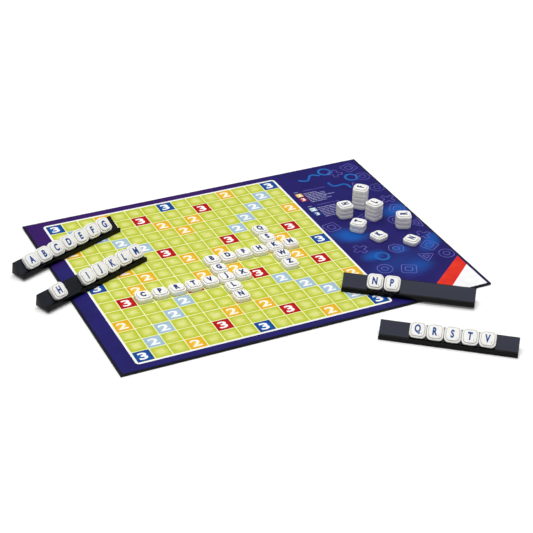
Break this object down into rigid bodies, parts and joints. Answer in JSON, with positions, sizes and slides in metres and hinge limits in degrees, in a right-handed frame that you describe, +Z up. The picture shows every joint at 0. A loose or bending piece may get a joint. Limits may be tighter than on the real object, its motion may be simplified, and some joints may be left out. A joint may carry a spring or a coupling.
{
  "type": "word game set",
  "caption": "Folding word game board laid out for play, with sloping tile racks and nesting square letter tiles on its squares, on the racks and in stacks.",
  "frame": {"origin": "on the fold line half way from front to back, on the underside of the board, level with the table", "axes": "+X along the board's long side towards the stacks, +Y to the board's back edge, +Z up from the board"},
  "size_m": [0.5386, 0.505, 0.0333],
  "materials": {
    "backing_paper": "black embossed wrapping paper",
    "greyboard": "raw grey paperboard",
    "hinge_cloth": "black binding cloth",
    "left_print": "printed paper, film laminated, lime green squares in a violet border",
    "right_print": "printed paper, film laminated, lime green squares beside a deep blue panel",
    "rack_plastic": "black moulded plastic, satin",
    "tile_plastic": "ivory white moulded plastic with a dark blue letter"
  },
  "bodies": {
    "left_board": {"left_backing_wrap": "backing_paper", "left_greyboard_core": "greyboard", "left_hinge_leaf": "hinge_cloth", "left_printed_sheet": "left_print"},
    "right_board": {"right_backing_wrap": "backing_paper", "right_greyboard_core": "greyboard", "right_hinge_leaf": "hinge_cloth", "right_printed_sheet": "right_print"},
    "rear_rack": {"rear_rack": "rack_plastic"},
    "middle_rack": {"middle_rack": "rack_plastic"},
    "edge_rack": {"edge_rack": "rack_plastic"},
    "table_rack": {"table_rack": "rack_plastic"},
    "rear_rack_tile_1": {"rear_rack_tile_1": "tile_plastic"},
    "rear_rack_tile_2": {"rear_rack_tile_2": "tile_plastic"},
    "rear_rack_tile_3": {"rear_rack_tile_3": "tile_plastic"},
    "rear_rack_tile_4": {"rear_rack_tile_4": "tile_plastic"},
    "rear_rack_tile_5": {"rear_rack_tile_5": "tile_plastic"},
    "rear_rack_tile_6": {"rear_rack_tile_6": "tile_plastic"},
    "rear_rack_tile_7": {"rear_rack_tile_7": "tile_plastic"},
    "middle_rack_tile_1": {"middle_rack_tile_1": "tile_plastic"},
    "middle_rack_tile_2": {"middle_rack_tile_2": "tile_plastic"},
    "middle_rack_tile_3": {"middle_rack_tile_3": "tile_plastic"},
    "middle_rack_tile_4": {"middle_rack_tile_4": "tile_plastic"},
    "middle_rack_tile_5": {"middle_rack_tile_5": "tile_plastic"},
    "middle_rack_tile_6": {"middle_rack_tile_6": "tile_plastic"},
    "edge_rack_tile_1": {"edge_rack_tile_1": "tile_plastic"},
    "edge_rack_tile_2": {"edge_rack_tile_2": "tile_plastic"},
    "table_rack_tile_1": {"table_rack_tile_1": "tile_plastic"},
    "table_rack_tile_2": {"table_rack_tile_2": "tile_plastic"},
    "table_rack_tile_3": {"table_rack_tile_3": "tile_plastic"},
    "table_rack_tile_4": {"table_rack_tile_4": "tile_plastic"},
    "table_rack_tile_5": {"table_rack_tile_5": "tile_plastic"},
    "tile_stack_1": {"tile_stack_1": "tile_plastic"},
    "tile_stack_2": {"tile_stack_2": "tile_plastic"},
    "tile_stack_3": {"tile_stack_3": "tile_plastic"},
    "tile_stack_4": {"tile_stack_4": "tile_plastic"},
    "tile_stack_5": {"tile_stack_5": "tile_plastic"},
    "tile_stack_6": {"tile_stack_6": "tile_plastic"},
    "tile_stack_7": {"tile_stack_7": "tile_plastic"},
    "board_tile_c7_r7": {"board_tile_c7_r7": "tile_plastic"},
    "board_tile_c8_r7": {"board_tile_c8_r7": "tile_plastic"},
    "board_tile_c9_r7": {"board_tile_c9_r7": "tile_plastic"},
    "board_tile_c10_r7": {"board_tile_c10_r7": "tile_plastic"},
    "board_tile_c11_r7": {"board_tile_c11_r7": "tile_plastic"},
    "board_tile_c12_r7": {"board_tile_c12_r7": "tile_plastic"},
    "board_tile_c7_r8": {"board_tile_c7_r8": "tile_plastic"},
    "board_tile_c7_r9": {"board_tile_c7_r9": "tile_plastic"},
    "board_tile_c7_r10": {"board_tile_c7_r10": "tile_plastic"},
    "board_tile_c7_r11": {"board_tile_c7_r11": "tile_plastic"},
    "board_tile_c2_r9": {"board_tile_c2_r9": "tile_plastic"},
    "board_tile_c3_r9": {"board_tile_c3_r9": "tile_plastic"},
    "board_tile_c4_r9": {"board_tile_c4_r9": "tile_plastic"},
    "board_tile_c5_r9": {"board_tile_c5_r9": "tile_plastic"},
    "board_tile_c6_r9": {"board_tile_c6_r9": "tile_plastic"},
    "board_tile_c8_r9": {"board_tile_c8_r9": "tile_plastic"},
    "board_tile_c11_r5": {"board_tile_c11_r5": "tile_plastic"},
    "board_tile_c11_r6": {"board_tile_c11_r6": "tile_plastic"},
    "board_tile_c11_r8": {"board_tile_c11_r8": "tile_plastic"},
    "board_tile_c11_r9": {"board_tile_c11_r9": "tile_plastic"}
  },
  "joints": [
    {"name": "board_fold", "type": "hinge", "parent": "left_board", "child": "right_board", "pos_m": [0, 0, 0.003], "axis": [0, -1, 0], "range_deg": [0, 15]},
    {"name": "rack_lift_rear", "type": "slide", "parent": "left_board", "child": "rear_rack", "axis": [0, 0, 1], "range_m": [0, 0.03]},
    {"name": "rack_lift_middle", "type": "slide", "parent": "left_board", "child": "middle_rack", "axis": [0, 0, 1], "range_m": [0, 0.03]},
    {"name": "rack_lift_edge", "type": "slide", "parent": "right_board", "child": "edge_rack", "axis": [0, 0, 1], "range_m": [0, 0.045]},
    {"name": "rack_lift_table", "type": "slide", "parent": "left_board", "child": "table_rack", "axis": [0, 0, 1], "range_m": [0, 0.03]},
    {"name": "tile_slide_rear_1", "type": "slide", "parent": "rear_rack", "child": "rear_rack_tile_1", "axis": [0.9232, 0.3843, 0], "range_m": [-0.009, 0]},
    {"name": "tile_slide_rear_7", "type": "slide", "parent": "rear_rack", "child": "rear_rack_tile_7", "axis": [0.9232, 0.3843, 0], "range_m": [0, 0.009]},
    {"name": "tile_slide_middle_1", "type": "slide", "parent": "middle_rack", "child": "middle_rack_tile_1", "axis": [0.9252, 0.3795, 0], "range_m": [-0.012, 0.019]},
    {"name": "tile_slide_edge_1", "type": "slide", "parent": "edge_rack", "child": "edge_rack_tile_1", "axis": [0.809, -0.5878, 0], "range_m": [-0.026, 0]},
    {"name": "tile_slide_edge_2", "type": "slide", "parent": "edge_rack", "child": "edge_rack_tile_2", "axis": [0.809, -0.5878, 0], "range_m": [0, 0.085]},
    {"name": "tile_slide_table_1", "type": "slide", "parent": "table_rack", "child": "table_rack_tile_1", "axis": [0.7997, -0.6004, 0], "range_m": [-0.03, 0]},
    {"name": "tile_slide_table_5", "type": "slide", "parent": "table_rack", "child": "table_rack_tile_5", "axis": [0.7997, -0.6004, 0], "range_m": [0, 0.022]},
    {"name": "stack_lift_1", "type": "slide", "parent": "right_board", "child": "tile_stack_1", "axis": [0, 0, 1], "range_m": [0, 0.045]},
    {"name": "stack_lift_2", "type": "slide", "parent": "right_board", "child": "tile_stack_2", "axis": [0, 0, 1], "range_m": [0, 0.045]},
    {"name": "stack_lift_3", "type": "slide", "parent": "right_board", "child": "tile_stack_3", "axis": [0, 0, 1], "range_m": [0, 0.045]},
    {"name": "stack_lift_4", "type": "slide", "parent": "right_board", "child": "tile_stack_4", "axis": [0, 0, 1], "range_m": [0, 0.045]},
    {"name": "stack_lift_5", "type": "slide", "parent": "right_board", "child": "tile_stack_5", "axis": [0, 0, 1], "range_m": [0, 0.045]},
    {"name": "stack_lift_6", "type": "slide", "parent": "right_board", "child": "tile_stack_6", "axis": [0, 0, 1], "range_m": [0, 0.045]},
    {"name": "stack_lift_7", "type": "slide", "parent": "right_board", "child": "tile_stack_7", "axis": [0, 0, 1], "range_m": [0, 0.045]},
    {"name": "tile_lift_rear_2", "type": "slide", "parent": "rear_rack", "child": "rear_rack_tile_2", "axis": [0, 0, 1], "range_m": [0, 0.03]},
    {"name": "tile_lift_rear_3", "type": "slide", "parent": "rear_rack", "child": "rear_rack_tile_3", "axis": [0, 0, 1], "range_m": [0, 0.03]},
    {"name": "tile_lift_rear_4", "type": "slide", "parent": "rear_rack", "child": "rear_rack_tile_4", "axis": [0, 0, 1], "range_m": [0, 0.03]},
    {"name": "tile_lift_rear_5", "type": "slide", "parent": "rear_rack", "child": "rear_rack_tile_5", "axis": [0, 0, 1], "range_m": [0, 0.03]},
    {"name": "tile_lift_rear_6", "type": "slide", "parent": "rear_rack", "child": "rear_rack_tile_6", "axis": [0, 0, 1], "range_m": [0, 0.03]},
    {"name": "tile_lift_middle_2", "type": "slide", "parent": "middle_rack", "child": "middle_rack_tile_2", "axis": [0, 0, 1], "range_m": [0, 0.03]},
    {"name": "tile_lift_middle_3", "type": "slide", "parent": "middle_rack", "child": "middle_rack_tile_3", "axis": [0, 0, 1], "range_m": [0, 0.03]},
    {"name": "tile_lift_middle_4", "type": "slide", "parent": "middle_rack", "child": "middle_rack_tile_4", "axis": [0, 0, 1], "range_m": [0, 0.03]},
    {"name": "tile_lift_middle_5", "type": "slide", "parent": "middle_rack", "child": "middle_rack_tile_5", "axis": [0, 0, 1], "range_m": [0, 0.03]},
    {"name": "tile_lift_middle_6", "type": "slide", "parent": "middle_rack", "child": "middle_rack_tile_6", "axis": [0, 0, 1], "range_m": [0, 0.03]},
    {"name": "tile_lift_table_2", "type": "slide", "parent": "table_rack", "child": "table_rack_tile_2", "axis": [0, 0, 1], "range_m": [0, 0.03]},
    {"name": "tile_lift_table_3", "type": "slide", "parent": "table_rack", "child": "table_rack_tile_3", "axis": [0, 0, 1], "range_m": [0, 0.03]},
    {"name": "tile_lift_table_4", "type": "slide", "parent": "table_rack", "child": "table_rack_tile_4", "axis": [0, 0, 1], "range_m": [0, 0.03]},
    {"name": "tile_lift_c7_r7", "type": "slide", "parent": "left_board", "child": "board_tile_c7_r7", "axis": [0, 0, 1], "range_m": [0, 0.03]},
    {"name": "tile_lift_c8_r7", "type": "slide", "parent": "left_board", "child": "board_tile_c8_r7", "axis": [0, 0, 1], "range_m": [0, 0.03]},
    {"name": "tile_lift_c9_r7", "type": "slide", "parent": "left_board", "child": "board_tile_c9_r7", "axis": [0, 0, 1], "range_m": [0, 0.03]},
    {"name": "tile_lift_c10_r7", "type": "slide", "parent": "right_board", "child": "board_tile_c10_r7", "axis": [0, 0, 1], "range_m": [0, 0.045]},
    {"name": "tile_lift_c11_r7", "type": "slide", "parent": "right_board", "child": "board_tile_c11_r7", "axis": [0, 0, 1], "range_m": [0, 0.045]},
    {"name": "tile_lift_c12_r7", "type": "slide", "parent": "right_board", "child": "board_tile_c12_r7", "axis": [0, 0, 1], "range_m": [0, 0.045]},
    {"name": "tile_lift_c7_r8", "type": "slide", "parent": "left_board", "child": "board_tile_c7_r8", "axis": [0, 0, 1], "range_m": [0, 0.03]},
    {"name": "tile_lift_c7_r9", "type": "slide", "parent": "left_board", "child": "board_tile_c7_r9", "axis": [0, 0, 1], "range_m": [0, 0.03]},
    {"name": "tile_lift_c7_r10", "type": "slide", "parent": "left_board", "child": "board_tile_c7_r10", "axis": [0, 0, 1], "range_m": [0, 0.03]},
    {"name": "tile_lift_c7_r11", "type": "slide", "parent": "left_board", "child": "board_tile_c7_r11", "axis": [0, 0, 1], "range_m": [0, 0.03]},
    {"name": "tile_lift_c2_r9", "type": "slide", "parent": "left_board", "child": "board_tile_c2_r9", "axis": [0, 0, 1], "range_m": [0, 0.03]},
    {"name": "tile_lift_c3_r9", "type": "slide", "parent": "left_board", "child": "board_tile_c3_r9", "axis": [0, 0, 1], "range_m": [0, 0.03]},
    {"name": "tile_lift_c4_r9", "type": "slide", "parent": "left_board", "child": "board_tile_c4_r9", "axis": [0, 0, 1], "range_m": [0, 0.03]},
    {"name": "tile_lift_c5_r9", "type": "slide", "parent": "left_board", "child": "board_tile_c5_r9", "axis": [0, 0, 1], "range_m": [0, 0.03]},
    {"name": "tile_lift_c6_r9", "type": "slide", "parent": "left_board", "child": "board_tile_c6_r9", "axis": [0, 0, 1], "range_m": [0, 0.03]},
    {"name": "tile_lift_c8_r9", "type": "slide", "parent": "left_board", "child": "board_tile_c8_r9", "axis": [0, 0, 1], "range_m": [0, 0.03]},
    {"name": "tile_lift_c11_r5", "type": "slide", "parent": "right_board", "child": "board_tile_c11_r5", "axis": [0, 0, 1], "range_m": [0, 0.045]},
    {"name": "tile_lift_c11_r6", "type": "slide", "parent": "right_board", "child": "board_tile_c11_r6", "axis": [0, 0, 1], "range_m": [0, 0.045]},
    {"name": "tile_lift_c11_r8", "type": "slide", "parent": "right_board", "child": "board_tile_c11_r8", "axis": [0, 0, 1], "range_m": [0, 0.045]},
    {"name": "tile_lift_c11_r9", "type": "slide", "parent": "right_board", "child": "board_tile_c11_r9", "axis": [0, 0, 1], "range_m": [0, 0.045]}
  ]
}
